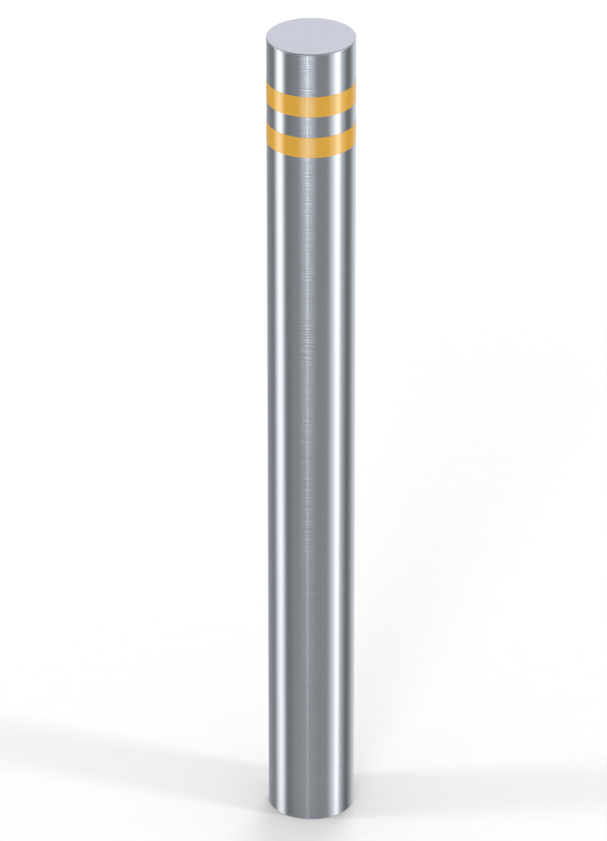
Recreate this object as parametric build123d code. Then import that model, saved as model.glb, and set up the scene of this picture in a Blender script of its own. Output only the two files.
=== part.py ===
from build123d import *
from math import cos, radians, sin, sqrt, tan
import os

# Steel safety bollard: a stainless post with a flat welded cap and two reflective
# bands. The post slips over a short spigot bolted to the floor and is clamped to it
# by two set screws low on its rear side. Millimetres. +Z is up, the origin is on
# the bollard's axis at floor level, and the rear side is +Y. Azimuths are in
# degrees from +X.

# ---------------------------------------------------------------- shared sizes
HEIGHT = 1000.0            # floor to the top of the cap

POST_R = 101.6 / 2         # 101.6 x 3 stainless tube
POST_BORE_R = POST_R - 3.0
CAP_T = 3.0
POST_TOP = HEIGHT - CAP_T
WELD_PREP = 1.2            # chamfer on tube and cap that the seam weld fills

SPIGOT_R = 88.9 / 2        # 88.9 x 5 steel tube
SPIGOT_BORE_R = SPIGOT_R - 5.0

GASKET_T = 2.0             # rubber gasket under the base plate
PLATE_T = 12.0
PLATE_TOP = GASKET_T + PLATE_T

SCREW_Z = 40.0             # height of the set screws
SCREW_AZIMUTHS = (50.0, 130.0)  # right and left, seen from the front
SCREW_R = 4.0              # M8 x 6 set screws with flat points
SCREW_CLEAR = 0.03         # radial clearance in the tapped pads and the post

ANCHOR_CIRCLE_R = 54.0 / 2  # three M10 wedge anchors inside the spigot
ANCHOR_COUNT = 3
ANCHOR_FIRST_AZIMUTH = -90.0
ANCHOR_R = 5.0

WASHER_TOP = PLATE_TOP + 2.0
NUT_H = 8.4
NUT_TOP = WASHER_TOP + NUT_H

OVERRUN = 1.0              # how far cutters run past the faces they cut


# ---------------------------------------------------------------- helpers
def turned(*points):
    """Solid of revolution about Z from (radius, height) points."""
    return revolve(make_face(Plane.XZ * Polyline(*points, close=True)), Axis.Z)


def at_anchors(shape):
    """Copies of a shape at the floor anchors, each a separate solid."""
    copies = []
    for i in range(ANCHOR_COUNT):
        angle = radians(ANCHOR_FIRST_AZIMUTH + 360.0 / ANCHOR_COUNT * i)
        place = Pos(ANCHOR_CIRCLE_R * cos(angle), ANCHOR_CIRCLE_R * sin(angle), 0)
        copies.append(place * shape)
    return copies


def drilled_for_anchors(disc, hole_r, bottom, thickness):
    """Disc with a through hole at each anchor."""
    drill = Pos(0, 0, bottom + thickness / 2) * Cylinder(hole_r, thickness + 4)
    for hole in at_anchors(drill):
        disc = disc - hole
    return disc


def radial(azimuth, distance):
    """Placement at set screw height whose local +Z points outwards."""
    facing = Pos(0, 0, SCREW_Z) * Rot(0, 0, azimuth) * Rot(0, 90, 0)
    return facing * Pos(0, 0, distance)


def screw_hole(azimuth, distance):
    """Cutter for a set screw hole, centred at a distance from the axis."""
    return radial(azimuth, distance) * Cylinder(SCREW_R + SCREW_CLEAR, 20)


def sector(azimuth, half_angle, bottom, top):
    """Wedge about Z, centred on an azimuth, a little taller than bottom to top."""
    reach = 80  # well outside the post
    start, end = radians(azimuth - half_angle), radians(azimuth + half_angle)
    triangle = Polyline(
        (0, 0),
        (reach * cos(start), reach * sin(start)),
        (reach * cos(end), reach * sin(end)),
        close=True,
    )
    wedge = extrude(make_face(triangle), top - bottom + 2 * OVERRUN)
    return Pos(0, 0, bottom - OVERRUN) * wedge


def solid_of(shape):
    """The one solid of a shape."""
    found = shape.solids()
    if len(found) != 1:
        raise ValueError(f"expected one solid, got {len(found)}")
    return found[0]


def write_part(name, *shapes):
    """Write one STEP file holding one solid for each shape."""
    solids = [solid_of(shape) for shape in shapes]
    part = solids[0] if len(solids) == 1 else Compound(children=solids)
    export_step(part, f"parts/{name}.step")


# ---------------------------------------------------------------- post
FOOT_EDGE = 0.3            # chamfers of the post's foot, which stands on the floor
CAP_EDGE_R = 1.2           # rounding of the cap's top edge

BAND_W = 25.0
BAND_T = 0.3
BAND_GAP = 0.6             # butt joint of each band at the rear
UPPER_BAND_DROP = 52.5     # top of the cap to the top of each band
LOWER_BAND_DROP = 103.0

PAD_HALF_ANGLE = 16.0
PAD_H = 26.0
PAD_CLEAR = 0.3            # pad to spigot, radial
PAD_TAPER = 1.0            # how much each end slopes in towards the spigot

RING_W = 20.0
RING_CLEAR = 0.10          # ring bore to spigot, radial running fit
RING_GAP_ANGLE = 6.0       # each ring is split so that it can be sprung in
RING_LEAD_R, RING_LEAD_H = 0.8, 1.5  # chamfers at the ends of the ring bore
LOWER_RING_Z, UPPER_RING_Z = 70.0, 178.0  # middle heights


def post_tube():
    tube = turned(
        (POST_BORE_R, FOOT_EDGE),
        (POST_BORE_R + FOOT_EDGE, 0),
        (POST_R - FOOT_EDGE, 0),
        (POST_R, FOOT_EDGE),
        (POST_R, POST_TOP - WELD_PREP),
        (POST_R - WELD_PREP, POST_TOP),
        (POST_BORE_R, POST_TOP),
    )
    for azimuth in SCREW_AZIMUTHS:
        tube = tube - screw_hole(azimuth, POST_R)
    return tube


def top_cap():
    """Full-diameter disc with its lower edge chamfered for the seam weld."""
    cap = turned(
        (0, POST_TOP),
        (POST_R - WELD_PREP, POST_TOP),
        (POST_R, POST_TOP + WELD_PREP),
        (POST_R, HEIGHT),
        (0, HEIGHT),
    )
    rim = cap.edges().filter_by(GeomType.CIRCLE).group_by(Axis.Z)[-1]
    return fillet(rim, CAP_EDGE_R)


def cap_seam_weld():
    """Weld between cap and tube, ground flush with the tube."""
    return turned(
        (POST_R - WELD_PREP, POST_TOP),
        (POST_R, POST_TOP - WELD_PREP),
        (POST_R, POST_TOP + WELD_PREP),
    )


def reflective_band(drop):
    """Film wrapped once round the post, with a butt joint at the rear."""
    top = HEIGHT - drop
    bottom = top - BAND_W
    outer = POST_R + BAND_T
    band = turned((POST_R, bottom), (outer, bottom), (outer, top), (POST_R, top))
    joint = Box(BAND_GAP, 10, BAND_W + 2 * OVERRUN)
    return band - Pos(0, POST_R, (bottom + top) / 2) * joint


def tapped_pad(azimuth):
    """Pad welded inside the post, which gives a set screw enough thread."""
    bottom, top = SCREW_Z - PAD_H / 2, SCREW_Z + PAD_H / 2
    inner = SPIGOT_R + PAD_CLEAR
    pad = turned(
        (inner, bottom + PAD_TAPER),
        (POST_BORE_R, bottom),
        (POST_BORE_R, top),
        (inner, top - PAD_TAPER),
    )
    pad = pad & sector(azimuth, PAD_HALF_ANGLE, bottom, top)
    return pad - screw_hole(azimuth, POST_BORE_R)


def centring_ring(middle, gap_azimuth):
    """Split ring bonded inside the post, a running fit on the spigot."""
    inner = SPIGOT_R + RING_CLEAR
    bottom, top = middle - RING_W / 2, middle + RING_W / 2
    ring = turned(
        (inner + RING_LEAD_R, bottom),
        (POST_BORE_R, bottom),
        (POST_BORE_R, top),
        (inner + RING_LEAD_R, top),
        (inner, top - RING_LEAD_H),
        (inner, bottom + RING_LEAD_H),
    )
    return ring - sector(gap_azimuth, RING_GAP_ANGLE / 2, bottom, top)


# ---------------------------------------------------------------- set screws
SCREW_LEN = 6.0
SCREW_POINT_EDGE = 1.2     # chamfer round the flat point
SCREW_HEAD_EDGE = 0.6      # chamfer at the socket end
TIP_GAP = 0.03             # flat point to spigot when tightened
SOCKET_AF = 4.05           # hexagon socket, across flats
SOCKET_DEPTH = 3.2
SOCKET_CONE_H = 0.9        # drilled bottom of the socket
SOCKET_CONE_R, SOCKET_CONE_TIP_R = 2.0, 0.2


def set_screw(azimuth):
    """Set screw with its point at the spigot and its socket facing outwards."""
    screw = turned(
        (0, 0),
        (SCREW_R - SCREW_POINT_EDGE, 0),
        (SCREW_R, SCREW_POINT_EDGE),
        (SCREW_R, SCREW_LEN - SCREW_HEAD_EDGE),
        (SCREW_R - SCREW_HEAD_EDGE, SCREW_LEN),
        (0, SCREW_LEN),
    )
    floor = SCREW_LEN - SOCKET_DEPTH
    hexagon = RegularPolygon(SOCKET_AF / 2, 6, major_radius=False)
    screw = screw - Pos(0, 0, floor) * extrude(hexagon, SOCKET_DEPTH + 0.2)
    cone = Cone(SOCKET_CONE_TIP_R, SOCKET_CONE_R, SOCKET_CONE_H)
    screw = screw - Pos(0, 0, floor - SOCKET_CONE_H / 2) * cone
    return radial(azimuth, SPIGOT_R + TIP_GAP) * screw


# ---------------------------------------------------------------- floor part
PLATE_R = 95.0 / 2         # a running fit inside the post
PLATE_LOW_EDGE, PLATE_TOP_EDGE = 0.5, 0.3  # rim chamfers
PLATE_HOLE_R = 5.5
GASKET_R = 94.0 / 2
GASKET_HOLE_R = 6.0

SPIGOT_TOP = 200.0
SPIGOT_LEAD_R, SPIGOT_LEAD_H = 1.5, 2.5  # top chamfer that guides the post on
SPIGOT_BORE_EDGE = 0.6     # chamfer at the top of the bore
WELD_LEG = 2.6
WELD_HOLLOW = 0.42         # mid-face point as a share of the leg; 0.5 is flat


def base_plate():
    plate = turned(
        (0, GASKET_T),
        (PLATE_R - PLATE_LOW_EDGE, GASKET_T),
        (PLATE_R, GASKET_T + PLATE_LOW_EDGE),
        (PLATE_R, PLATE_TOP - PLATE_TOP_EDGE),
        (PLATE_R - PLATE_TOP_EDGE, PLATE_TOP),
        (0, PLATE_TOP),
    )
    return drilled_for_anchors(plate, PLATE_HOLE_R, GASKET_T, PLATE_T)


def foot_gasket():
    gasket = turned((0, 0), (GASKET_R, 0), (GASKET_R, GASKET_T), (0, GASKET_T))
    return drilled_for_anchors(gasket, GASKET_HOLE_R, 0, GASKET_T)


def spigot_tube():
    return turned(
        (SPIGOT_BORE_R, PLATE_TOP),
        (SPIGOT_R, PLATE_TOP),
        (SPIGOT_R, SPIGOT_TOP - SPIGOT_LEAD_H),
        (SPIGOT_R - SPIGOT_LEAD_R, SPIGOT_TOP),
        (SPIGOT_BORE_R + SPIGOT_BORE_EDGE, SPIGOT_TOP),
        (SPIGOT_BORE_R, SPIGOT_TOP - SPIGOT_BORE_EDGE),
    )


def spigot_weld():
    """Outside fillet weld, spigot to plate."""
    hollow = WELD_LEG * WELD_HOLLOW
    return turned(
        (SPIGOT_R, PLATE_TOP),
        (SPIGOT_R + WELD_LEG, PLATE_TOP),
        (SPIGOT_R + hollow, PLATE_TOP + hollow),
        (SPIGOT_R, PLATE_TOP + WELD_LEG),
    )


# ---------------------------------------------------------------- floor anchors
BOLT_TOP = NUT_TOP + 5.0   # thread left standing above the nut
BOLT_LOW = BOLT_TOP - 95.0
BOLT_TIP_EDGE = 1.0        # chamfer at the top of the thread
THREAD_LOW = -0.3          # the thread ends just below floor level
SHANK_R = 4.45
NECK_R = 3.8
CONE_R = ANCHOR_R - 0.05   # widest part of the spreading cone

CLIP_LOW, CLIP_TOP = BOLT_LOW + 8.0, BOLT_LOW + 22.0
CLIP_SLOT_W = 1.0
CLIP_SLOT_H = 8.0          # height of the two lower slots

WASHER_R, WASHER_HOLE_R = 10.0, 5.25
WASHER_EDGE = 0.4

NUT_AF = 16.0
NUT_BORE_R = ANCHOR_R + 0.04
NUT_SINK_R = ANCHOR_R + 0.7  # 45 degree countersinks at both ends of the bore


def anchor_bolt():
    """Wedge anchor: thread, plain shank, neck for the clip, spreading cone."""
    neck_top = CLIP_TOP + 0.5
    return turned(
        (0, BOLT_LOW),
        (CONE_R - 0.4, BOLT_LOW),
        (CONE_R, BOLT_LOW + 0.4),
        (CONE_R, BOLT_LOW + 2.2),
        (NECK_R, BOLT_LOW + 7.5),
        (NECK_R, neck_top),
        (SHANK_R, neck_top),
        (SHANK_R, THREAD_LOW),
        (ANCHOR_R, THREAD_LOW + 0.25),
        (ANCHOR_R, BOLT_TOP - BOLT_TIP_EDGE),
        (ANCHOR_R - BOLT_TIP_EDGE, BOLT_TOP),
        (0, BOLT_TOP),
    )


def expansion_clip():
    """Sleeve split along its +Y side, with two slots in its lower end."""
    inner = NECK_R + 0.1
    clip = turned(
        (inner, CLIP_LOW), (ANCHOR_R, CLIP_LOW), (ANCHOR_R, CLIP_TOP), (inner, CLIP_TOP)
    )
    split = Box(CLIP_SLOT_W, ANCHOR_R * 2, 40)
    clip = clip - Pos(0, ANCHOR_R, (CLIP_LOW + CLIP_TOP) / 2) * split
    slot = Pos(ANCHOR_R, 0, CLIP_LOW) * Box(ANCHOR_R, CLIP_SLOT_W, 2 * CLIP_SLOT_H)
    for azimuth in (-30.0, 210.0):
        clip = clip - Rot(0, 0, azimuth) * slot
    return clip


def washer():
    return turned(
        (WASHER_HOLE_R, PLATE_TOP),
        (WASHER_R, PLATE_TOP),
        (WASHER_R, WASHER_TOP - WASHER_EDGE),
        (WASHER_R - WASHER_EDGE, WASHER_TOP),
        (WASHER_HOLE_R, WASHER_TOP),
    )


def nut():
    """Hexagonal prism trimmed by 30 degree chamfers at both ends."""
    hexagon = RegularPolygon(NUT_AF / 2, 6, major_radius=False)
    prism = Pos(0, 0, WASHER_TOP) * extrude(hexagon, NUT_H)
    face_r = NUT_AF / 2 - 0.15
    trim_r = NUT_AF / sqrt(3) + 0.2  # just outside the corners
    rise = (trim_r - face_r) * tan(radians(30))
    trim = turned(
        (0, WASHER_TOP),
        (face_r, WASHER_TOP),
        (trim_r, WASHER_TOP + rise),
        (trim_r, NUT_TOP - rise),
        (face_r, NUT_TOP),
        (0, NUT_TOP),
    )
    sink = NUT_SINK_R - NUT_BORE_R
    bore = turned(
        (0, WASHER_TOP - OVERRUN),
        (NUT_SINK_R, WASHER_TOP - OVERRUN),
        (NUT_SINK_R, WASHER_TOP),
        (NUT_BORE_R, WASHER_TOP + sink),
        (NUT_BORE_R, NUT_TOP - sink),
        (NUT_SINK_R, NUT_TOP),
        (NUT_SINK_R, NUT_TOP + OVERRUN),
        (0, NUT_TOP + OVERRUN),
    )
    return (prism & trim) - bore


# ---------------------------------------------------------------- write out
os.makedirs("parts", exist_ok=True)
right, left = SCREW_AZIMUTHS

write_part("post_tube", post_tube())
write_part("top_cap", top_cap())
write_part("cap_seam_weld", cap_seam_weld())
write_part("upper_reflective_band", reflective_band(UPPER_BAND_DROP))
write_part("lower_reflective_band", reflective_band(LOWER_BAND_DROP))
write_part("tapped_pads", tapped_pad(right), tapped_pad(left))
write_part("lower_centring_ring", centring_ring(LOWER_RING_Z, 0.0))
write_part("upper_centring_ring", centring_ring(UPPER_RING_Z, 180.0))
write_part("set_screw_left", set_screw(left))
write_part("set_screw_right", set_screw(right))
write_part("base_plate", base_plate())
write_part("spigot_tube", spigot_tube())
write_part("spigot_weld", spigot_weld())
write_part("foot_gasket", foot_gasket())
write_part("anchor_bolts", *at_anchors(anchor_bolt()))
write_part("anchor_expansion_clips", *at_anchors(expansion_clip()))
write_part("anchor_washers", *at_anchors(washer()))
write_part("anchor_nuts", *at_anchors(nut()))
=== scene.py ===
"""A stainless post on a floor-mounted spigot, in a white studio.

The post stands on the origin with its axis along +Z and carries a welded cap and two reflective
bands. Two set screws near its foot hold it on a galvanised spigot, whose base is anchored to the
floor. The camera looks from -Y, so +X is its right and +Y the rear.
Meshes are built in millimetres; stage, lights and shaders work in metres.
"""
import math
import random

import bmesh
import bpy
from mathutils import Matrix, Vector


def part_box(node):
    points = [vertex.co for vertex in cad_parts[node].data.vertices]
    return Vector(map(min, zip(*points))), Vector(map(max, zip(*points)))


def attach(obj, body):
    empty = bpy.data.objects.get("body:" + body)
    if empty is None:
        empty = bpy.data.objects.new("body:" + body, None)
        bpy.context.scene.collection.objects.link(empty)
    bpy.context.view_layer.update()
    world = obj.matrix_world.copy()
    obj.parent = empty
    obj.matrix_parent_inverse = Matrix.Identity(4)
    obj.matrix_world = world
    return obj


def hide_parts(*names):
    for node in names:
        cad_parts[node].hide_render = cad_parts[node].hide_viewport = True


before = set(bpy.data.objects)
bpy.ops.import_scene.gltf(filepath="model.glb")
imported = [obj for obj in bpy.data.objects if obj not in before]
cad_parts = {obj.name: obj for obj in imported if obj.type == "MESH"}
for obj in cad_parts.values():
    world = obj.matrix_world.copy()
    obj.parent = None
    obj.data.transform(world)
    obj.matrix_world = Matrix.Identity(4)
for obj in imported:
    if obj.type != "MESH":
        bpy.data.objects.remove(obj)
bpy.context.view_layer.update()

MM = 0.001


def cad_box(node):
    """Lowest and highest corner of a CAD node, in millimetres."""
    low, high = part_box(node)
    return low / MM, high / MM


# ====================================================================== shared sizes, mm
POST_FACETS = 384
POST_R = 50.8
BORE_R = POST_R - 3.0  # 3 mm wall

cap_low, cap_high = cad_box("top_cap")
seam_low, seam_high = cad_box("cap_seam_weld")
CAP_BOTTOM = cap_low.z
CAP_TOP = cap_high.z
BEVEL = (seam_high.z - seam_low.z) / 2  # on the post and the cap, filled by the seam weld

SPIGOT_R = 44.45
SPIGOT_BORE_R = SPIGOT_R - 5
PLATE_TOP = cad_box("base_plate")[1].z

SCREW_Z = 40.0
LEFT_AZIMUTH, RIGHT_AZIMUTH = 130.0, 50.0  # degrees from +X towards +Y, so both at the rear

SHARP_ANGLE = 32.0  # degrees; steeper edges are kept sharp


# ====================================================================== mesh helpers
def shade(mesh, sharp):
    """Smooth shading, with edges above this angle (degrees) kept sharp."""
    for polygon in mesh.polygons:
        polygon.use_smooth = True
    mesh.set_sharp_from_angle(angle=math.radians(sharp))


def mesh_object(name, verts, faces, sharp=SHARP_ANGLE):
    """A mesh object. Millimetres in, metres out."""
    mesh = bpy.data.meshes.new(name)
    mesh.from_pydata([(x * MM, y * MM, z * MM) for x, y, z in verts], [], faces)
    edit = bmesh.new()
    edit.from_mesh(mesh)
    bmesh.ops.recalc_face_normals(edit, faces=edit.faces)
    edit.to_mesh(mesh)
    edit.free()
    shade(mesh, sharp)
    ob = bpy.data.objects.new(name, mesh)
    bpy.context.scene.collection.objects.link(ob)
    return ob


def loft(rings, ends="point"):
    """Vertices and faces through rings of equal length.

    ends: "point" closes each end on its centre, "flat" with one face,
    and "loop" joins the last ring to the first.
    """
    size, count = len(rings[0]), len(rings)
    verts, faces = [], []
    for ring in rings:
        verts += ring
    for i in range(count if ends == "loop" else count - 1):
        here, there = i * size, ((i + 1) % count) * size
        for j in range(size):
            k = (j + 1) % size
            faces.append((here + j, here + k, there + k, there + j))
    last = (count - 1) * size
    if ends == "flat":
        faces += [tuple(range(size)), tuple(last + j for j in range(size))]
    if ends == "point":
        for start, ring in ((0, rings[0]), (last, rings[-1])):
            centre = len(verts)
            verts.append(tuple(sum(p[axis] for p in ring) / size for axis in range(3)))
            for j in range(size):
                faces.append((start + j, start + (j + 1) % size, centre))
    return verts, faces


def circle(radius, z, facets=POST_FACETS):
    angles = [2 * math.pi * j / facets for j in range(facets)]
    return [(radius * math.cos(angle), radius * math.sin(angle), z) for angle in angles]


def circles(outline, facets=POST_FACETS, base=0.0):
    """One ring for each (radius, height above base) of an outline."""
    return [circle(radius, base + z, facets) for radius, z in outline]


def swung(outline, angle):
    """A (radius, height) outline stood up in the plane at this angle round Z (radians)."""
    return [(radius * math.cos(angle), radius * math.sin(angle), z) for radius, z in outline]


def rounded(points, steps=5):
    """A closed outline with its corners rounded: points are (radius, z) or (radius, z, fillet)."""
    outline = []
    for i, point in enumerate(points):
        here = Vector(point[:2])
        if len(point) == 2:
            outline.append((here.x, here.y))
            continue
        fillet = point[2]
        back = (Vector(points[i - 1][:2]) - here).normalized()
        ahead = (Vector(points[(i + 1) % len(points)][:2]) - here).normalized()
        half = back.angle(ahead) / 2
        reach = fillet / math.tan(half)
        centre = here + (back + ahead).normalized() * (fillet / math.sin(half))
        start = here + back * reach - centre
        end = here + ahead * reach - centre
        first = math.atan2(start.y, start.x)
        turn = (math.atan2(end.y, end.x) - first + math.pi) % (2 * math.pi) - math.pi
        for k in range(steps + 1):
            angle = first + turn * k / steps
            outline.append(
                (centre.x + fillet * math.cos(angle), centre.y + fillet * math.sin(angle))
            )
    return outline


def ring_body(points, facets=POST_FACETS):
    """An annular solid from a closed outline that doesn't touch the axis."""
    return loft(circles(rounded(points), facets), ends="loop")


def merge(parts):
    all_verts, all_faces = [], []
    for verts, faces in parts:
        offset = len(all_verts)
        all_verts += verts
        all_faces += [tuple(i + offset for i in face) for face in faces]
    return all_verts, all_faces


def moved(part, matrix):
    verts, faces = part
    return [tuple(matrix @ Vector(p)) for p in verts], faces


def radial_matrix(azimuth, z):
    """Local +Z points outwards at this azimuth (degrees) and height (mm)."""
    return (
        Matrix.Translation((0, 0, z))
        @ Matrix.Rotation(math.radians(azimuth), 4, "Z")
        @ Matrix.Rotation(math.radians(90), 4, "Y")
    )


def boolean_cut(ob, cutters):
    """Cuts closed meshes out of an object and keeps the result as plain mesh data."""
    for cutter in cutters:
        cut = ob.modifiers.new("cut", "BOOLEAN")
        cut.operation, cut.object, cut.solver = "DIFFERENCE", cutter, "EXACT"
    bpy.context.view_layer.update()
    depsgraph = bpy.context.evaluated_depsgraph_get()
    mesh = bpy.data.meshes.new_from_object(ob.evaluated_get(depsgraph))
    ob.modifiers.clear()
    uncut = ob.data
    ob.data = mesh
    mesh.name = uncut.name
    bpy.data.meshes.remove(uncut)
    for cutter in cutters:
        bpy.data.objects.remove(cutter)
    shade(mesh, SHARP_ANGLE)


def hex_radius(across_flats, angle):
    """Distance from the centre to a hexagon's edge in this direction."""
    return across_flats / 2 / math.cos((angle + math.pi / 6) % (math.pi / 3) - math.pi / 6)


def hexagon(across_flats, z, facets):
    ring = []
    for j in range(facets):
        angle = 2 * math.pi * j / facets
        radius = hex_radius(across_flats, angle)
        ring.append((radius * math.cos(angle), radius * math.sin(angle), z))
    return ring


def thread_rings(crest, depth, pitch, bottom, top, facets, per_pitch, runout):
    """Rings of a rod with a helical thread that runs out at both ends."""
    rings = []
    steps = max(2, round((top - bottom) / pitch * per_pitch))
    for i in range(steps + 1):
        z = bottom + (top - bottom) * i / steps
        fade = min(1.0, (z - bottom) / runout) * min(1.0, (top - z) / runout)
        ring = []
        for j in range(facets):
            angle = 2 * math.pi * j / facets
            phase = (z / pitch - j / facets) % 1.0
            ridge = abs(2 * phase - 1)  # 1 at the crest, 0 at the root
            # the gain and offset flatten the crests and the roots
            cut = min(1.0, max(0.0, (1 - ridge) * 1.35 - 0.12))
            radius = crest - depth * cut * fade
            ring.append((radius * math.cos(angle), radius * math.sin(angle), z))
        rings.append(ring)
    return rings


def dress(ob, material):
    ob.data.materials.clear()
    ob.data.materials.append(material)


def place(ob, body, material, node):
    """Gives an object its material and its body, and hides the CAD node it stands in for."""
    dress(ob, material)
    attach(ob, body)
    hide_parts(node)


# ====================================================================== shader helpers
# spans that noise values mostly fall in
WIDE = (0.25, 0.75)
MID = (0.3, 0.7)


class Graph:
    """Short-hand for building the node tree of a material, a world or a light."""

    def __init__(self, owner):
        owner.use_nodes = True
        self.tree = owner.node_tree
        self.tree.nodes.clear()

    def put(self, value, socket):
        """Links a socket, or sets a plain value."""
        if isinstance(value, bpy.types.NodeSocket):
            self.tree.links.new(value, socket)
        else:
            socket.default_value = value

    def add(self, kind, *values, **props):
        """A new node with its first inputs filled in order."""
        node = self.tree.nodes.new(kind)
        for name, value in props.items():
            setattr(node, name, value)
        for socket, value in zip(node.inputs, values):
            self.put(value, socket)
        return node

    def calc(self, operation, *values, clamp=False):
        props = {"operation": operation, "use_clamp": clamp}
        return self.add("ShaderNodeMath", *values, **props).outputs[0]

    def vector(self, operation, *values):
        return self.add("ShaderNodeVectorMath", *values, operation=operation).outputs[0]

    def remap(self, value, span, to=(0.0, 1.0), smooth=False):
        kind = "SMOOTHSTEP" if smooth else "LINEAR"
        node = self.add("ShaderNodeMapRange", value, *span, *to, interpolation_type=kind)
        return node.outputs[0]

    def mix(self, factor, first, second, blend="MIX"):
        """Mixes colours, each a socket or an RGB triple."""
        node = self.add("ShaderNodeMix", factor, data_type="RGBA", blend_type=blend)
        for value, socket in ((first, node.inputs[6]), (second, node.inputs[7])):
            self.put(value if isinstance(value, bpy.types.NodeSocket) else (*value, 1.0), socket)
        return node.outputs[2]


class Material(Graph):
    """A principled material whose textures follow object coordinates."""

    def __init__(self, name):
        self.material = bpy.data.materials.new(name)
        super().__init__(self.material)
        self.bsdf = self.add("ShaderNodeBsdfPrincipled")
        self.add("ShaderNodeOutputMaterial", self.bsdf.outputs[0])
        self.position = self.add("ShaderNodeTexCoord").outputs["Object"]

    def set(self, **inputs):
        for name, value in inputs.items():
            self.put(value, self.bsdf.inputs[name.replace("_", " ")])

    def total(self, *parts, clamp=False):
        """Adds the parts in order; clamp holds only the final sum to 0..1."""
        result, *middle, last = parts
        for part in middle:
            result = self.calc("ADD", result, part, 0.0)
        return self.calc("ADD", result, last, 0.0, clamp=clamp)

    def times(self, first, second):
        return self.calc("MULTIPLY", first, second, 0.0)

    def sway(self, value, span, by):
        """Maps a span to -by..by."""
        return self.remap(value, span, to=(-by, by))

    def texture(self, kind, vector, out, inputs, **props):
        node = self.add(kind, vector or self.position, **props)
        for name, value in inputs.items():
            node.inputs[name].default_value = value
        return node.outputs[out]

    def noise(self, scale=1.0, detail=2.0, rough=0.5, stretch=None, out="Fac"):
        """Noise; stretch scales the three axes separately."""
        vector = self.vector("MULTIPLY", self.position, stretch) if stretch else None
        inputs = {"Scale": scale, "Detail": detail, "Roughness": rough}
        return self.texture("ShaderNodeTexNoise", vector, out, inputs)

    def voronoi(self, scale, feature="F1", out="Distance", vector=None):
        inputs = {"Scale": scale}
        return self.texture("ShaderNodeTexVoronoi", vector, out, inputs, feature=feature)

    def split_color(self, color):
        return self.add("ShaderNodeSeparateColor", color).outputs

    def toned(self, color, tone):
        """A colour multiplied by a grey tone."""
        grey = self.add("ShaderNodeCombineColor", tone, tone, tone).outputs[0]
        return self.mix(1.0, color, grey, "MULTIPLY")

    def bump(self, height, strength, distance):
        node = self.add("ShaderNodeBump")
        node.inputs["Strength"].default_value = strength
        node.inputs["Distance"].default_value = distance
        self.put(height, node.inputs["Height"])
        return node.outputs[0]

    def round_tangent(self):
        return self.add("ShaderNodeTangent", direction_type="RADIAL", axis="Z").outputs[0]


# ====================================================================== materials
def brushed_round(name, tint, rough, anisotropy, line_depth, foot_shade=False):
    """Steel brushed round Z: long, fine lines that change the sheen more than the colour."""
    mat = Material(name)
    hair = mat.noise(stretch=(30, 30, 3600), detail=2, rough=0.55)  # finest lines
    line = mat.noise(stretch=(2.5, 2.5, 450), detail=1, rough=0.6)  # 2 mm groups
    belt = mat.noise(stretch=(4, 4, 95), detail=2)  # broad belt marks
    # where the belt bit deeper
    bite = mat.remap(mat.noise(stretch=(2, 2, 62), detail=1), span=(0.38, 0.60), to=(0.75, 1.0))
    cloud = mat.noise(scale=9, detail=2)
    height = mat.add("ShaderNodeSeparateXYZ", mat.position).outputs[2]

    tone = mat.total(
        mat.sway(hair, WIDE, by=0.004),
        mat.sway(line, WIDE, by=0.004),
        mat.sway(belt, MID, by=0.004),
        1.0,
    )
    if foot_shade:
        shadow = mat.remap(height, span=(0.0, 0.05), to=(0.94, 1.0), smooth=True)
        tone = mat.times(tone, shadow)

    # the lines tip the sheen up and down only, so they show where a small light is mirrored
    lines = mat.calc("ADD", mat.times(hair, 0.1), mat.sway(line, (0.38, 0.62), by=0.12), 0.0)
    lines = mat.times(lines, bite)
    lines = mat.times(lines, mat.remap(height, span=(0.40, 0.82), to=(1.18, 0.80)))

    # seen from the rear, the wall's grazing edge would mirror a bright strip: tone it down there
    incoming = mat.add("ShaderNodeNewGeometry").outputs["Incoming"]
    rearward = mat.add("ShaderNodeSeparateXYZ", incoming).outputs[1]
    seen = mat.add("ShaderNodeLightPath").outputs["Is Camera Ray"]
    from_rear = mat.times(mat.remap(rearward, span=(0.25, 0.50), smooth=True), seen)
    full_edge, dim_edge = (1.0, 1.0, 1.0), (0.15, 0.15, 0.16)

    mat.set(
        Base_Color=mat.toned(tint, tone),
        Metallic=1.0,
        Roughness=mat.total(
            mat.sway(hair, WIDE, by=0.006), mat.sway(cloud, MID, by=0.006), rough, clamp=True
        ),
        Specular_Tint=mat.mix(from_rear, full_edge, dim_edge),
        Anisotropic=anisotropy,
        Anisotropic_Rotation=0.25,
        Normal=mat.bump(lines, strength=1.0, distance=0.00015 * line_depth),
        Tangent=mat.round_tangent(),
    )
    return mat.material


def satin_disc():
    """The cap: finely ground along X, nearly plain."""
    mat = Material("cap_satin")
    hair = mat.noise(stretch=(40, 2600, 40), detail=3, rough=0.6)
    line = mat.noise(stretch=(16, 420, 16), detail=2)
    cloud = mat.noise(scale=22, detail=3, rough=0.55)
    tone = mat.total(
        mat.sway(hair, WIDE, by=0.02),
        mat.sway(line, WIDE, by=0.012),
        mat.remap(cloud, MID, to=(0.985, 1.012)),
    )
    steel = (0.70, 0.70, 0.72)
    rough = mat.total(mat.remap(hair, WIDE, to=(0.30, 0.40)), mat.sway(cloud, MID, by=0.02))
    along_x = mat.add("ShaderNodeCombineXYZ", 1.0).outputs[0]
    mat.set(
        Base_Color=mat.toned(steel, tone),
        Metallic=1.0,
        Roughness=rough,
        Anisotropic=0.35,
        Tangent=along_x,
        Normal=mat.bump(hair, strength=0.12, distance=0.00005),
    )
    return mat.material


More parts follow.
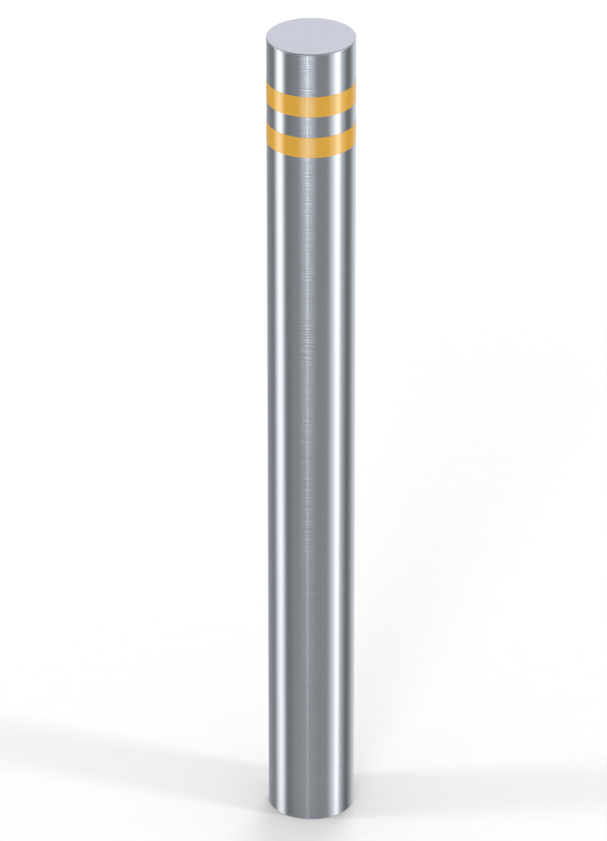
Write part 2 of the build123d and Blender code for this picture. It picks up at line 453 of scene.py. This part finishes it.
def amber_film():
    """Amber reflective film: fine glass beads under a smooth, strongly shining face."""
    mat = Material("amber_reflective_film")
    beads = mat.voronoi(scale=2600)
    bead_tone = mat.split_color(mat.voronoi(scale=2600, out="Color"))[0]
    cloud = mat.noise(scale=60, detail=3)
    roll = mat.noise(stretch=(9, 9, 700), detail=2)
    factor = mat.total(mat.times(bead_tone, 0.30), mat.remap(cloud, MID, to=(0.25, 0.45)))
    deep, light = (0.638, 0.313, 0.001), (0.74, 0.370, 0.002)
    rough = mat.total(
        mat.remap(beads, span=(0.0, 0.6), to=(0.150, 0.168)), mat.sway(roll, MID, by=0.006)
    )
    # the bead layer leans the sheen a little upwards
    upward = (0.0, 0.0, 0.045)
    normal = mat.vector("ADD", mat.bump(beads, strength=0.05, distance=0.00003), upward)
    mat.set(
        Base_Color=mat.mix(factor, deep, light),
        Metallic=0.0,
        IOR=2.55,
        Roughness=rough,
        Anisotropic=0.73,
        Specular_Tint=(1.0, 1.0, 0.80, 1.0),
        Anisotropic_Rotation=0.25,
        Tangent=mat.round_tangent(),
        Normal=mat.vector("NORMALIZE", normal),
    )
    return mat.material


def rubber():
    """Matt black rubber with a little dust."""
    mat = Material("gasket_rubber")
    fine = mat.noise(scale=1400, detail=3)
    dust = mat.noise(scale=60, detail=4, rough=0.65)
    clean, dusty = (0.020, 0.020, 0.021), (0.085, 0.082, 0.078)
    mat.set(
        Base_Color=mat.mix(mat.remap(dust, span=(0.42, 0.75), to=(0.0, 0.5)), clean, dusty),
        Roughness=mat.remap(fine, MID, to=(0.62, 0.85)),
        Normal=mat.bump(fine, strength=0.3, distance=0.0001),
    )
    return mat.material


def galvanised(name, tone=1.0):
    """Hot-dip zinc: overlapping crystal spangles of differing tone and sheen."""
    mat = Material(name)
    shift = mat.noise(scale=180, detail=2, out="Color")
    shift = mat.vector("MULTIPLY", shift, (0.0022, 0.0022, 0.0022))
    warped = mat.vector("ADD", mat.position, shift)
    large = mat.split_color(mat.voronoi(scale=115, out="Color", vector=warped))
    small = mat.split_color(mat.voronoi(scale=310, out="Color", vector=warped))
    feather = mat.noise(scale=900, detail=4, rough=0.7)
    stain = mat.noise(scale=38, detail=4, rough=0.6)
    factor = mat.total(
        mat.times(large[0], 0.6),
        mat.times(small[1], 0.3),
        mat.sway(feather, MID, by=0.1),
        clamp=True,
    )
    dark = tuple(tone * x for x in (0.30, 0.315, 0.33))
    bright = tuple(tone * x for x in (0.56, 0.58, 0.60))
    stained = (0.55, 0.55, 0.53)
    color = mat.mix(factor, dark, bright)
    color = mat.mix(mat.remap(stain, span=(0.55, 0.8), to=(0.0, 0.35)), color, stained)
    rough = mat.total(
        mat.remap(large[1], span=(0.0, 1.0), to=(0.34, 0.52)), mat.sway(feather, MID, by=0.05)
    )
    relief = mat.total(mat.times(large[0], 0.5), feather)
    mat.set(
        Base_Color=color,
        Metallic=0.85,
        Roughness=rough,
        Normal=mat.bump(relief, strength=0.25, distance=0.00012),
    )
    return mat.material


def bright_metal(name, first, second, rough):
    """Bright metal with faint drift between two colours, handling marks and paler edges."""
    mat = Material(name)
    drift = mat.noise(scale=140, detail=3)
    fine = mat.noise(scale=2200, detail=3, rough=0.6)
    marks = mat.noise(stretch=(300, 300, 2400), detail=2)
    pointiness = mat.add("ShaderNodeNewGeometry").outputs["Pointiness"]
    edge = mat.times(mat.remap(pointiness, span=(0.50, 0.58)), 0.4)
    pale = (0.78, 0.78, 0.77)
    color = mat.mix(mat.remap(drift, span=(0.35, 0.65)), first, second)
    mat.set(
        Base_Color=mat.mix(edge, color, pale),
        Metallic=1.0,
        Roughness=mat.total(
            mat.remap(fine, MID, to=(rough - 0.05, rough + 0.09)),
            mat.remap(marks, MID, to=(-0.03, 0.04)),
        ),
        Normal=mat.bump(mat.total(fine, marks), strength=0.15, distance=0.00005),
    )
    return mat.material


def moulded_plastic():
    """Black plastic with a moulded grain and flow marks."""
    mat = Material("moulded_plastic")
    grain = mat.voronoi(scale=1500, feature="SMOOTH_F1")
    flow = mat.noise(stretch=(30, 30, 260), detail=3)
    dark, light = (0.022, 0.022, 0.024), (0.036, 0.036, 0.038)
    mat.set(
        Base_Color=mat.mix(mat.remap(flow, MID), dark, light),
        Roughness=mat.remap(flow, MID, to=(0.42, 0.56)),
        Normal=mat.bump(grain, strength=0.25, distance=0.00008),
    )
    return mat.material


def milled_steel():
    """Steel with the ring marks of a milling cutter."""
    mat = Material("milled_steel")
    arcs = mat.texture(
        "ShaderNodeTexWave",
        None,
        "Fac",
        {"Scale": 260, "Distortion": 1.2},
        wave_type="RINGS",
        rings_direction="Z",
    )
    fine = mat.noise(stretch=(900, 900, 2600), detail=3)
    dark, light = (0.40, 0.40, 0.41), (0.56, 0.56, 0.57)
    mat.set(
        Base_Color=mat.mix(mat.remap(fine, MID), dark, light),
        Metallic=1.0,
        Roughness=mat.total(
            mat.remap(arcs, span=(0, 1), to=(0.24, 0.36)),
            mat.remap(fine, MID, to=(-0.03, 0.05)),
        ),
        Normal=mat.bump(mat.total(arcs, fine), strength=0.2, distance=0.00005),
    )
    return mat.material


STEEL = brushed_round(
    "stainless_brushed",
    tint=(0.640, 0.652, 0.660),
    rough=0.178,
    anisotropy=0.82,
    line_depth=1.0,
    foot_shade=True,
)
SEAM = brushed_round(
    "stainless_ground_seam",
    tint=(0.628, 0.639, 0.648),
    rough=0.185,
    anisotropy=0.80,
    line_depth=1.2,
)
CAP = satin_disc()
FILM = amber_film()
RUBBER = rubber()
GALVANISED = galvanised("galvanised_steel")
WELD = galvanised("galvanised_weld", tone=0.86)
ZINC = bright_metal(
    "zinc_plated_steel", first=(0.60, 0.62, 0.64), second=(0.66, 0.65, 0.60), rough=0.26
)
SCREW = bright_metal(
    "turned_stainless", first=(0.55, 0.55, 0.56), second=(0.60, 0.60, 0.60), rough=0.24
)
CLIP = brushed_round(
    "stainless_strip", tint=(0.60, 0.60, 0.61), rough=0.28, anisotropy=0.4, line_depth=0.7
)
PLASTIC = moulded_plastic()
MILLED = milled_steel()


# ====================================================================== post
def post_tube():
    # (radius, height[, fillet])
    outline = [
        (BORE_R, 0.3),
        (BORE_R + 0.3, 0.0),
        (POST_R - 0.35, 0.0, 0.12),
        (POST_R, 0.35, 0.2),
        (POST_R, 1.0),
        (POST_R, 18.0),
        (POST_R, 62.0),
        (POST_R, CAP_BOTTOM - BEVEL),
        (POST_R - BEVEL, CAP_BOTTOM),
        (BORE_R, CAP_BOTTOM),
        (BORE_R, 62.0),
        (BORE_R, 18.0),
    ]
    # screw hole with a small countersink: (radius, distance from the post's axis)
    hole = [(4.03, 40.0), (4.03, POST_R - 0.45), (4.75, POST_R + 0.32), (4.9, POST_R + 6.0)]
    post = mesh_object("Post_tube", *ring_body(outline))
    cutters = []
    for azimuth in (RIGHT_AZIMUTH, LEFT_AZIMUTH):
        cutter = moved(loft(circles(hole, 72)), radial_matrix(azimuth, SCREW_Z))
        cutters.append(mesh_object("cut", *cutter))
    boolean_cut(post, cutters)
    place(post, "post", STEEL, "post_tube")


def cap_seam():
    """The weld that fills the groove between the post's bevel and the cap's."""
    outline = [
        (POST_R - BEVEL, CAP_BOTTOM),
        (POST_R, CAP_BOTTOM - BEVEL),
        (POST_R, CAP_BOTTOM),
        (POST_R, CAP_BOTTOM + BEVEL),
    ]
    seam = mesh_object("Cap_seam_weld", *ring_body(outline))
    place(seam, "post", SEAM, "cap_seam_weld")


def top_cap():
    """A solid disc with a rounded upper rim."""
    fillet = 0.95
    rim_r, rim_z = POST_R - fillet, CAP_TOP - fillet
    # (radius, height)
    outline = [
        (12.0, CAP_BOTTOM),
        (POST_R - BEVEL, CAP_BOTTOM),
        (POST_R, CAP_BOTTOM + BEVEL),
        (POST_R, rim_z - 0.25),
    ]
    for degrees in range(0, 91, 9):
        angle = math.radians(degrees)
        outline.append((rim_r + fillet * math.cos(angle), rim_z + fillet * math.sin(angle)))
    outline += [(rim_r - 0.4, CAP_TOP), (42.0, CAP_TOP), (24.0, CAP_TOP), (8.0, CAP_TOP)]
    cap = mesh_object("Top_cap", *loft(circles(outline)))
    place(cap, "post", CAP, "top_cap")


def reflective_band(name, node):
    """Film wrapped once round the post, with softened long edges and a butt joint at the rear."""
    low, high = cad_box(node)
    thickness = 0.3
    half_gap = math.asin(0.3 / POST_R)
    # (share of the thickness, distance in from the long edge)
    edge = [(0.0, 0.0), (0.6, 0.0), (0.9, 0.06), (1.0, 0.2), (1.0, 0.5)]
    outline = [(POST_R + thickness * share, low.z + inset) for share, inset in edge]
    outline += [(POST_R + thickness * share, high.z - inset) for share, inset in reversed(edge)]
    rings = []
    for j in range(POST_FACETS + 1):
        turn = (2 * math.pi - 2 * half_gap) * j / POST_FACETS
        rings.append(swung(outline, math.pi / 2 + half_gap + turn))
    band = mesh_object(name, *loft(rings, ends="flat"))
    place(band, "post", FILM, node)


post_tube()
cap_seam()
top_cap()
reflective_band("Upper_reflective_band", "upper_reflective_band")
reflective_band("Lower_reflective_band", "lower_reflective_band")


# ====================================================================== set screws
def set_screw(side, azimuth):
    """M8 x 6 flat-point screw with a 4 mm hexagon socket. Local +Z points outwards."""
    facets, length = 72, 6.0
    tip = SPIGOT_R + 0.03  # distance from the post's axis
    rings = circles([(1.4, 0.0), (2.75, 0.0), (3.3, 0.55)], facets)
    rings += thread_rings(
        crest=3.99,
        depth=0.62,
        pitch=1.25,
        bottom=0.75,
        top=length - 0.45,
        facets=facets,
        per_pitch=12,
        runout=0.5,
    )
    rings += circles([(3.55, -0.12), (3.4, 0.0)], facets, base=length)
    # socket: (across flats, height from the head), then its conical floor
    for across_flats, z in ((4.45, 0.0), (4.03, -0.28), (4.03, -3.1)):
        rings.append(hexagon(across_flats, length + z, facets))
    rings += circles([(1.85, -3.15), (0.7, -3.5)], facets, base=length)
    matrix = radial_matrix(azimuth, SCREW_Z) @ Matrix.Translation((0, 0, tip))
    screw = mesh_object(f"Set_screw_{side}", *moved(loft(rings), matrix), sharp=28)
    place(screw, f"{side}_screw", SCREW, f"set_screw_{side}")


set_screw("left", LEFT_AZIMUTH)
set_screw("right", RIGHT_AZIMUTH)


# ====================================================================== spigot
def spigot_tube():
    top = cad_box("spigot_tube")[1].z
    # (radius, height[, fillet])
    outline = [
        (SPIGOT_BORE_R, PLATE_TOP),
        (SPIGOT_R, PLATE_TOP),
        (SPIGOT_R, top - 3.6),
        (SPIGOT_R, top - 2.5, 0.8),
        (SPIGOT_R - 1.5, top, 0.6),
        (SPIGOT_BORE_R + 0.6, top, 0.3),
        (SPIGOT_BORE_R, top - 0.6),
    ]
    spigot = mesh_object("Spigot_tube", *ring_body(outline, facets=256))
    place(spigot, "base", GALVANISED, "spigot_tube")


def spigot_weld():
    """Fillet weld with the ripples of a hand-run bead, one start and stop at the rear."""
    sections, ripples, stations = 900, 118, 24
    sunk = 0.05  # how far the bead reaches into tube and plate
    draw = random.Random(7)
    wander = [draw.uniform(-1, 1) for _ in range(stations)]
    rings = []
    for i in range(sections):
        angle = 2 * math.pi * i / sections
        phase = (i / sections * ripples) % 1.0
        ripple = 0.16 * (1 - phase) ** 1.6
        station = i / sections * stations
        here = wander[int(station) % stations]
        there = wander[(int(station) + 1) % stations]
        leg = 2.45 + 0.08 * (here + (there - here) * (station % 1.0))
        lump = 0.12 * math.exp(-(((angle - math.pi / 2) / 0.05) ** 2))
        outline = [
            (SPIGOT_R - sunk, PLATE_TOP - sunk),
            (SPIGOT_R + leg, PLATE_TOP - sunk),
            (SPIGOT_R + leg, PLATE_TOP + 0.06),
        ]
        for share in (0.14, 0.3, 0.46, 0.6, 0.76, 0.88):
            belly = math.sin(math.pi * share) * (-0.30 + ripple + lump)
            outline.append(
                (SPIGOT_R + leg * (1 - share) + belly, PLATE_TOP + leg * share + belly)
            )
        outline += [(SPIGOT_R + 0.03, PLATE_TOP + leg), (SPIGOT_R - sunk, PLATE_TOP + leg)]
        rings.append(swung(outline, angle))
    weld = mesh_object("Spigot_weld", *loft(rings, ends="loop"), sharp=50)
    place(weld, "base", WELD, "spigot_weld")


spigot_tube()
spigot_weld()


# ====================================================================== floor anchors
ANCHOR_CIRCLE_R = 27.0
ANCHOR_ANGLES = [math.radians(-90 + 120 * i) for i in range(3)]


def at_anchors(part, first_twist, twist_step):
    """Copies of a part at the three anchors, each turned further round its own axis (radians)."""
    copies = []
    for i, angle in enumerate(ANCHOR_ANGLES):
        spot = (ANCHOR_CIRCLE_R * math.cos(angle), ANCHOR_CIRCLE_R * math.sin(angle), 0)
        turned = moved(part, Matrix.Rotation(first_twist + twist_step * i, 4, "Z"))
        copies.append(moved(turned, Matrix.Translation(spot)))
    return merge(copies)


def anchor_bolt():
    """A rod with a waist above its lower end and a thread from the floor line upwards."""
    facets = 56
    low, high = cad_box("anchor_bolts")
    # (radius, height above the lower end)
    lower_end = [
        (2.0, 0.0), (4.4, 0.0), (4.85, 0.45), (4.95, 2.2),
        (3.8, 7.5), (3.8, 22.2), (4.1, 22.45), (4.45, 22.7),
    ]
    rings = circles(lower_end, facets, base=low.z)
    rings += circles([(4.45, -0.9), (4.45, -0.35)], facets)
    rings += thread_rings(
        crest=4.99,
        depth=0.85,
        pitch=1.5,
        bottom=0.0,
        top=high.z - 0.8,
        facets=facets,
        per_pitch=10,
        runout=1.2,
    )
    rings += circles([(4.35, -0.25), (4.0, 0.0), (2.0, 0.0)], facets, base=high.z)
    return loft(rings)


def anchor_nut():
    """Hexagon nut with the curved corner chamfers that turning leaves at both ends."""
    facets, across_flats = 96, 16.0
    face_r = across_flats / 2 - 0.2  # where the chamfer starts
    slope = 0.577  # of the chamfer, about 30 degrees
    low, high = cad_box("anchor_nuts")
    top, bottom = [], []
    for j in range(facets):
        angle = 2 * math.pi * j / facets
        radius = hex_radius(across_flats, angle)
        x, y = radius * math.cos(angle), radius * math.sin(angle)
        chamfer = max(0.0, radius - face_r) * slope
        top.append((x, y, high.z - chamfer))
        bottom.append((x, y, low.z + chamfer))
    # from the face into the bore: (radius, depth below the face)
    mouth = [(face_r - 0.15, 0.0), (5.75, 0.0), (5.08, 0.62)]
    rings = [bottom, top]
    rings += [circle(radius, high.z - depth, facets) for radius, depth in mouth]
    rings += [circle(radius, low.z + depth, facets) for radius, depth in reversed(mouth)]
    return loft(rings, ends="loop")


bolts = at_anchors(anchor_bolt(), first_twist=0.0, twist_step=0.9)
bolts = mesh_object("Anchor_bolts", *bolts, sharp=24)
place(bolts, "base", ZINC, "anchor_bolts")

nuts = at_anchors(anchor_nut(), first_twist=0.35, twist_step=0.7)
nuts = mesh_object("Anchor_nuts", *nuts, sharp=24)
place(nuts, "base", ZINC, "anchor_nuts")

# ====================================================================== CAD nodes kept as they are
for node, material in (
    ("base_plate", GALVANISED),
    ("foot_gasket", RUBBER),
    ("anchor_washers", ZINC),
    ("anchor_expansion_clips", CLIP),
    ("tapped_pads", MILLED),
    ("lower_centring_ring", PLASTIC),
    ("upper_centring_ring", PLASTIC),
):
    dress(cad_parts[node], material)


# ====================================================================== stage
def pale_floor():
    """A very large pale floor, level with the post's foot."""
    verts, faces = loft([circle(radius, 0.0, 96) for radius in (60, 400, 3000, 40000)])
    # drop the fan that closes the outermost ring, which would lie over the floor
    outer_centre = len(verts) - 1
    faces = [face for face in faces if outer_centre not in face]
    ob = mesh_object("Floor", verts, faces)
    for polygon in ob.data.polygons:
        polygon.use_smooth = False
    mat = Material("pale_floor")
    speck = mat.noise(scale=40, detail=3)
    dark, light = (0.795, 0.795, 0.797), (0.805, 0.805, 0.806)
    mat.set(
        Base_Color=mat.mix(mat.remap(speck, MID), dark, light),
        Roughness=0.9,
        Specular_IOR_Level=0.0,
    )
    dress(ob, mat.material)
    ob.visible_glossy = False
    ob.visible_shadow = False  # the front softbox stands below floor level


pale_floor()

# ====================================================================== world
DIM = (0.95, 1.0, 1.06)
LIT = (0.955, 1.0, 1.055)
# the strips of light that metal mirrors, round the horizon:
# (azimuth in degrees, 0 towards the camera and 90 to its right; brightness; tint)
STRIPS = [
    (-180, 0.76, DIM), (-160, 0.56, DIM), (-146, 0.33, DIM), (-120, 0.19, DIM),
    (-112, 0.18, LIT), (-104, 0.86, LIT), (-97, 1.6, LIT), (-90, 2.03, LIT),
    (-84, 1.97, LIT), (-77, 1.06, LIT), (-71, 0.37, DIM), (-66.5, 0.27, DIM),
    (-50, 0.28, DIM), (-11.9, 0.28, DIM), (-9.5, 0.75, LIT), (-7.1, 0.28, DIM),
    (39, 0.28, DIM), (46, 0.39, DIM), (55, 0.95, LIT), (63, 1.4, LIT),
    (70, 2.4, LIT), (75, 2.42, LIT), (79, 1.7, LIT), (84, 0.97, LIT),
    (94, 0.60, DIM), (104, 0.25, DIM), (113, 0.20, DIM), (122, 0.24, DIM),
    (134, 0.62, DIM), (146, 0.93, DIM), (180, 0.84, DIM),
]
LOWER_END = (0.445, 0.47, 0.50)  # of the strips
RIGHT_GAP = (0.08, 0.083, 0.088)  # dark gap behind the right strip
LEFT_GAP = (0.18, 0.19, 0.20)  # dark gap in front of the left strip
REAR_WALL = (0.893, 0.905, 1.0)
UPPER_SIDES = (0.18, 0.185, 0.20)
OVERHEAD = (0.08, 0.09, 0.11)
SEEN_BY_FLOOR = (0.10, 0.10, 0.10)
DOME = (0.72, 0.72, 0.72)
BACKDROP = (1.06, 1.06, 1.06)


def studio_world():
    """White to the camera, an even dome for diffuse light, and soft strips for metal to mirror."""
    world = bpy.data.worlds.new("studio")
    bpy.context.scene.world = world
    world.cycles.sampling_method = "NONE"
    graph = Graph(world)
    direction = graph.add("ShaderNodeTexCoord").outputs["Generated"]
    x, y, up = graph.add("ShaderNodeSeparateXYZ", direction).outputs
    azimuth = graph.calc("ARCTAN2", x, graph.calc("MULTIPLY", y, -1.0))

    ramp = graph.add("ShaderNodeValToRGB", graph.remap(azimuth, span=(-math.pi, math.pi)))
    ramp.color_ramp.interpolation = "LINEAR"
    stops = ramp.color_ramp.elements
    while len(stops) > 1:
        stops.remove(stops[-1])
    for i, (degrees, brightness, tint) in enumerate(STRIPS):
        position = (degrees + 180) / 360
        stop = stops[0] if i == 0 else stops.new(position)
        stop.position = position
        stop.color = (*(brightness * channel for channel in tint), 1.0)

    def step(value, span, to=(0.0, 1.0)):
        return graph.remap(value, span, to, smooth=True)

    def degree_step(value, span, to=(0.0, 1.0)):
        return step(value, [math.radians(limit) for limit in span], to)

    def sector(rise, fall):
        """1 between two azimuths, with soft sides."""
        rising = degree_step(azimuth, rise)
        falling = degree_step(azimuth, fall, to=(1.0, 0.0))
        return graph.calc("MULTIPLY", rising, falling)

    # the strips' lower ends are dimmer, and the dark gaps beside them reach all the way down
    end = graph.mix(sector(rise=(70, 88), fall=(112, 122)), LOWER_END, RIGHT_GAP)
    end = graph.mix(sector(rise=(-77, -71), fall=(-60, -46)), end, LEFT_GAP)
    near_floor = step(up, span=(-0.75, -0.25), to=(0.75, 0.0))
    strips = graph.mix(near_floor, ramp.outputs[0], end)
    # an even light wall at the rear, about 15 to 50 degrees up, which the cap mirrors
    behind = degree_step(graph.calc("ABSOLUTE", azimuth), span=(118, 148))
    wall = graph.mix(behind, UPPER_SIDES, REAR_WALL)
    sheen = graph.mix(step(up, span=(0.17, 0.33)), strips, wall)
    sheen = graph.mix(step(up, span=(0.76, 0.86)), sheen, OVERHEAD)
    # metal seen by the floor stays dim, so that the floor darkens softly round the foot
    path = graph.add("ShaderNodeLightPath").outputs
    after_diffuse = graph.calc("GREATER_THAN", path["Diffuse Depth"], 0.5)
    sheen = graph.mix(after_diffuse, sheen, SEEN_BY_FLOOR)
    light = graph.mix(path["Is Glossy Ray"], DOME, sheen)
    light = graph.mix(path["Is Camera Ray"], light, BACKDROP)
    background = graph.add("ShaderNodeBackground", light)
    graph.add("ShaderNodeOutputWorld", background.outputs[0])


studio_world()


# ====================================================================== lights
def sun(name, azimuth, elevation, strength, angle):
    """A sun that stands at this azimuth (as in STRIPS) and elevation and shines at the foot."""
    data = bpy.data.lights.new(name, "SUN")
    data.energy, data.angle = strength, math.radians(angle)
    ob = bpy.data.objects.new(name, data)
    bpy.context.scene.collection.objects.link(ob)
    around, above = math.radians(azimuth), math.radians(elevation)
    towards = Vector(
        (
            math.sin(around) * math.cos(above),
            -math.cos(around) * math.cos(above),
            math.sin(above),
        )
    )
    ob.rotation_euler = towards.to_track_quat("Z", "Y").to_euler()
    ob.visible_glossy = False


sun("Light_right_front", azimuth=70.5, elevation=24, strength=0.95, angle=9)
sun("Light_left", azimuth=-86, elevation=24, strength=0.95, angle=12)
sun("Light_back", azimuth=168, elevation=48, strength=0.92, angle=24)
sun("Light_front", azimuth=-14, elevation=38, strength=0.45, angle=14)


def softbox(name, centre, aim, width, height, power, shoulder, core, core_gain):
    """A soft box that only the metal's sheen sees.

    It fades out sideways from shoulder and has a bright core, both as fractions of its half width.
    """
    data = bpy.data.lights.new(name, "AREA")
    data.shape, data.size, data.size_y, data.energy = "RECTANGLE", width, height, power
    data.color = (0.93, 0.985, 1.10)
    data.spread = math.radians(180)
    graph = Graph(data)
    parametric = graph.add("ShaderNodeNewGeometry").outputs["Parametric"]
    across = graph.add("ShaderNodeSeparateXYZ", parametric).outputs[0]
    offset = graph.calc("ABSOLUTE", graph.calc("SUBTRACT", across, 0.5), 0.0)
    side = graph.calc("MULTIPLY", offset, 2.0)
    body = graph.remap(side, span=(shoulder, 1.0), to=(1.0, 0.0), smooth=True)
    centre_glow = graph.remap(side, span=(0.0, core), to=(core_gain, 0.0))
    emission = graph.add("ShaderNodeEmission")
    graph.put(graph.calc("ADD", body, centre_glow), emission.inputs["Strength"])
    graph.add("ShaderNodeOutputLight", emission.outputs[0])
    ob = bpy.data.objects.new(name, data)
    bpy.context.scene.collection.objects.link(ob)
    ob.location = centre
    ob.rotation_euler = (Vector(centre) - Vector(aim)).to_track_quat("Z", "Y").to_euler()
    ob.visible_diffuse = False
    ob.visible_camera = False


softbox(
    "Softbox_front",
    centre=(-1.25, -7.89, -2.007),
    aim=(0.0, 0.0, 0.9),
    width=8.5,
    height=0.89,
    power=47,
    shoulder=0.10,
    core=0.08,
    core_gain=0.5,
)

# ====================================================================== camera
CAMERA_PITCH = 27.756  # degrees below the horizontal

camera_data = bpy.data.cameras.new("Camera")
camera_data.lens = 276.34
camera_data.sensor_width = 36.0
camera_data.sensor_fit = "AUTO"
camera_data.shift_x = -0.00914
camera_data.clip_start, camera_data.clip_end = 0.1, 200.0
camera = bpy.data.objects.new("Camera", camera_data)
bpy.context.scene.collection.objects.link(camera)
camera.location = (0.0, -6.6393, 4.00446)
camera.rotation_euler = (math.radians(90 - CAMERA_PITCH), 0.0, 0.0)
bpy.context.scene.camera = camera

bpy.context.scene.view_settings.view_transform = "Standard"
bpy.context.scene.view_settings.look = "None"
